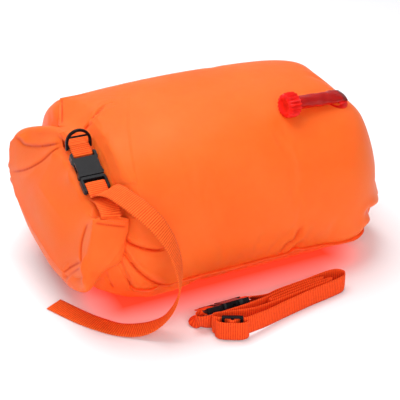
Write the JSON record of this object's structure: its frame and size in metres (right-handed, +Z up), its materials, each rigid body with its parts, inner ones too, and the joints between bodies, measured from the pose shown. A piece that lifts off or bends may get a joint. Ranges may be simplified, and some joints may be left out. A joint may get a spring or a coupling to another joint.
{
  "type": "swim buoy dry bag",
  "caption": "Inflated swim buoy that is also a dry bag, lying flat with its mouth rolled and buckled, an oral valve on top and its waist belt folded beside it.",
  "frame": {"origin": "on the floor, in the flat patch of the back panel that the bag rests on", "axes": "+X from the rolled mouth to the base, -Y towards the belt, +Z up"},
  "size_m": [0.4691, 0.3815, 0.2405],
  "materials": {
    "coated_nylon": "satin coated nylon",
    "strap_webbing": "ribbed webbing",
    "belt_webbing": "ribbed webbing",
    "buckle_plastic": "satin acetal",
    "valve_vinyl": "soft translucent vinyl",
    "strip_plastic": "flexible strip"
  },
  "bodies": {
    "bag": {"front_outer_panel": "coated_nylon", "back_outer_panel": "coated_nylon", "front_chamber_wall": "coated_nylon", "back_chamber_wall": "coated_nylon", "near_side_weld": "coated_nylon", "far_side_weld": "coated_nylon", "base_weld": "coated_nylon", "neck": "coated_nylon", "rolled_mouth": "coated_nylon", "mouth_strip_front": "strip_plastic", "mouth_strip_back": "strip_plastic", "anchor_tab": "strap_webbing", "closure_strap": "strap_webbing", "buckle_socket": "buckle_plastic", "valve_flange": "valve_vinyl"},
    "d_ring": {"d_ring": "buckle_plastic"},
    "closure_plug": {"buckle_plug": "buckle_plastic"},
    "closure_prong_left": {"buckle_prong_left": "buckle_plastic"},
    "closure_prong_right": {"buckle_prong_right": "buckle_plastic"},
    "valve_tube": {"valve_tube": "valve_vinyl", "valve_stem": "valve_vinyl"},
    "valve_cap": {"valve_twist_cap": "valve_vinyl"},
    "belt": {"belt_webbing": "belt_webbing", "belt_socket": "buckle_plastic"},
    "belt_plug": {"belt_plug": "buckle_plastic"},
    "belt_prong_left": {"belt_prong_left": "buckle_plastic"},
    "belt_prong_right": {"belt_prong_right": "buckle_plastic"},
    "belt_slider": {"belt_slider": "buckle_plastic"}
  },
  "joints": [
    {"name": "d_ring_swing", "type": "hinge", "parent": "bag", "child": "d_ring", "pos_m": [-0.177, -0.03064, 0.19564], "axis": [1, 0, 0], "range_deg": [-30, 75]},
    {"name": "closure_release", "type": "slide", "parent": "bag", "child": "closure_plug", "axis": [0, -0.8951, -0.4459], "range_m": [0, 0.024], "deforming": ["closure_strap"]},
    {"name": "closure_prong_right", "type": "hinge", "parent": "closure_plug", "child": "closure_prong_right", "pos_m": [-0.1672, -0.07316, 0.17446], "axis": [0, -0.4459, 0.8951], "range_deg": [0, 7], "stiffness_Nm_per_rad": 0.8},
    {"name": "closure_prong_left", "type": "hinge", "parent": "closure_plug", "child": "closure_prong_left", "pos_m": [-0.1868, -0.07316, 0.17446], "axis": [0, -0.4459, 0.8951], "range_deg": [-7, 0], "stiffness_Nm_per_rad": 0.8},
    {"name": "valve_fold", "type": "hinge", "parent": "bag", "child": "valve_tube", "pos_m": [0.16244, -0.07503, 0.21803], "axis": [-0.1438, 0.9388, 0.3131], "range_deg": [0, 75]},
    {"name": "cap_twist", "type": "hinge", "parent": "valve_tube", "child": "valve_cap", "pos_m": [0.0914, -0.0878, 0.22369], "axis": [-0.9812, -0.1764, 0.0781], "range_deg": [0, 90]},
    {"name": "belt_lift", "type": "slide", "parent": "bag", "child": "belt", "axis": [0, 0, 1], "range_m": [0, 0.2]},
    {"name": "belt_release", "type": "slide", "parent": "belt", "child": "belt_plug", "axis": [-1, 0, 0], "range_m": [0, 0.024], "deforming": ["belt_webbing"]},
    {"name": "belt_prong_right", "type": "hinge", "parent": "belt_plug", "child": "belt_prong_right", "pos_m": [-0.056, -0.18431, 0.01889], "axis": [0, 0.5299, 0.848], "range_deg": [0, 7], "stiffness_Nm_per_rad": 0.8},
    {"name": "belt_prong_left", "type": "hinge", "parent": "belt_plug", "child": "belt_prong_left", "pos_m": [-0.056, -0.16769, 0.00851], "axis": [0, 0.5299, 0.848], "range_deg": [-7, 0], "stiffness_Nm_per_rad": 0.8},
    {"name": "belt_slider_travel", "type": "slide", "parent": "belt", "child": "belt_slider", "axis": [-0.8942, 0.4478, 0], "range_m": [-0.004, 0.004], "deforming": ["belt_webbing"]}
  ],
  "couplings": [
    {"joint": "closure_prong_left", "follows": "closure_prong_right", "ratio": -1},
    {"joint": "belt_prong_left", "follows": "belt_prong_right", "ratio": -1}
  ]
}
